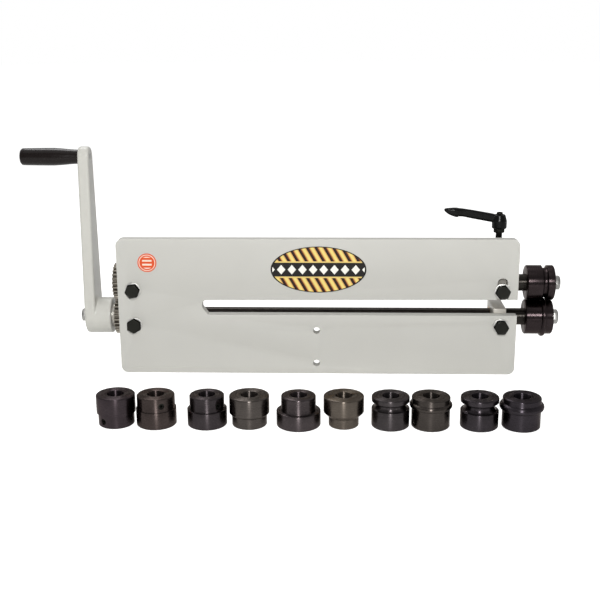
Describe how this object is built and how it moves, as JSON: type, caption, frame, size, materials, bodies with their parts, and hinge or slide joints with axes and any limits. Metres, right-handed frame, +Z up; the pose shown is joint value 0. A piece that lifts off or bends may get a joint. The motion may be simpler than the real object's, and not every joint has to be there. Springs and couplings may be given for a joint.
{
  "type": "bead roller",
  "caption": "Hand cranked bead roller: flat plate frame with a deep throat, two geared shafts behind it, a pair of bead dies, a lever adjuster and loose spare dies.",
  "frame": {"origin": "middle of the frame plate's bottom edge", "axes": "+X along the plate towards the mounted dies, -Y out of the plate's front face, +Z up"},
  "size_m": [0.794, 0.313, 0.3284],
  "materials": {
    "plate_paint": "satin light grey paint",
    "crank_paint": "satin light grey paint on a casting",
    "ground_steel": "ground bare steel",
    "gear_steel": "oiled cut steel",
    "black_oxide": "black oxide, turned",
    "black_bolt": "black oxide, forged",
    "black_shaft": "black oxide, drawn bar",
    "zinc": "zinc plated",
    "bronze": "oiled bearing bronze",
    "grip_plastic": "moulded, slightly glossy",
    "lever_coat": "black powder coat",
    "spring_steel": "drawn wire",
    "weld": "weld bead, painted over",
    "oval_print": null,
    "round_print": null
  },
  "bodies": {
    "frame": {"frame_plate": "plate_paint", "lower_front_block": "ground_steel", "lower_rear_block": "ground_steel", "lower_front_bush": "bronze", "lower_rear_bush": "bronze", "lower_bolts": "black_bolt", "lower_washers": "zinc", "adjuster_nut_block": "ground_steel", "nut_block_welds": "weld", "loose_die_01_step_top": "black_oxide", "loose_die_02_step_low": "black_oxide", "loose_die_03_step_low": "black_oxide", "loose_die_04_rim_top": "black_oxide", "loose_die_05_flange_low": "black_oxide", "loose_die_06_rim_top": "black_oxide", "loose_die_07_groove_small": "black_oxide", "loose_die_08_bead_small": "black_oxide", "loose_die_09_groove_large": "black_oxide", "loose_die_10_bead_large": "black_oxide", "loose_die_screws": "black_bolt", "oval_badge": "oval_print", "round_badge": "round_print"},
    "upper_carrier": {"upper_front_block": "ground_steel", "upper_rear_block": "ground_steel", "upper_front_bush": "bronze", "upper_rear_bush": "bronze", "upper_bolts": "black_bolt", "upper_washers": "zinc"},
    "lower_spindle": {"lower_shaft": "black_shaft", "lower_gear": "gear_steel", "lower_gear_key": "gear_steel", "lower_shaft_collar": "black_shaft", "lower_die": "black_oxide", "lower_die_screw": "black_bolt", "lower_end_washer": "zinc", "lower_end_bolt": "zinc", "gear_spacer": "gear_steel", "crank_arm": "crank_paint", "crank_washer": "zinc", "crank_bolt": "zinc", "grip_pin": "zinc"},
    "upper_spindle": {"upper_shaft": "black_shaft", "upper_gear": "gear_steel", "upper_gear_key": "gear_steel", "upper_shaft_collar": "black_shaft", "upper_die": "black_oxide", "upper_die_screw": "black_bolt", "upper_end_washer": "zinc", "upper_end_bolt": "zinc"},
    "grip": {"crank_grip": "grip_plastic"},
    "foot": {"thrust_foot": "ground_steel"},
    "adjuster": {"adjuster_screw": "black_bolt", "lever_insert": "black_bolt", "lever_cap_screw": "black_bolt", "lever_spring": "spring_steel"},
    "lever": {"clamping_lever": "lever_coat"}
  },
  "joints": [
    {"name": "crank_turn", "type": "hinge", "parent": "frame", "child": "lower_spindle", "pos_m": [0, 0.0475, 0.0734], "axis": [1, 0, 0], "continuous": true},
    {"name": "upper_tilt", "type": "hinge", "parent": "frame", "child": "upper_carrier", "pos_m": [-0.2675, 0, 0.126], "axis": [0, -1, 0], "range_deg": [-0.042, 0.81]},
    {"name": "upper_shaft_turn", "type": "hinge", "parent": "upper_carrier", "child": "upper_spindle", "pos_m": [0, 0.0475, 0.126], "axis": [1, 0, 0], "continuous": true},
    {"name": "grip_spin", "type": "hinge", "parent": "lower_spindle", "child": "grip", "pos_m": [-0.39, 0.0475, 0.3134], "axis": [1, 0, 0], "continuous": true},
    {"name": "foot_feed", "type": "slide", "parent": "frame", "child": "foot", "axis": [0, 0, 1], "range_m": [-0.00038, 0.00751]},
    {"name": "adjuster_turn", "type": "hinge", "parent": "foot", "child": "adjuster", "pos_m": [0.2675, 0.0475, 0.18], "axis": [0, 0, 1], "range_deg": [-90, 1800]},
    {"name": "lever_lift", "type": "slide", "parent": "adjuster", "child": "lever", "axis": [0, 0, 1], "range_m": [0, 0.004], "stiffness_N_per_m": 900, "springref_m": -0.003, "deforming": ["lever_spring"]}
  ],
  "couplings": [
    {"joint": "upper_shaft_turn", "follows": "crank_turn", "ratio": -1},
    {"joint": "foot_feed", "follows": "adjuster_turn", "m_per_rad": 0.00023873},
    {"joint": "upper_tilt", "follows": "adjuster_turn", "ratio": 0.00044623}
  ]
}
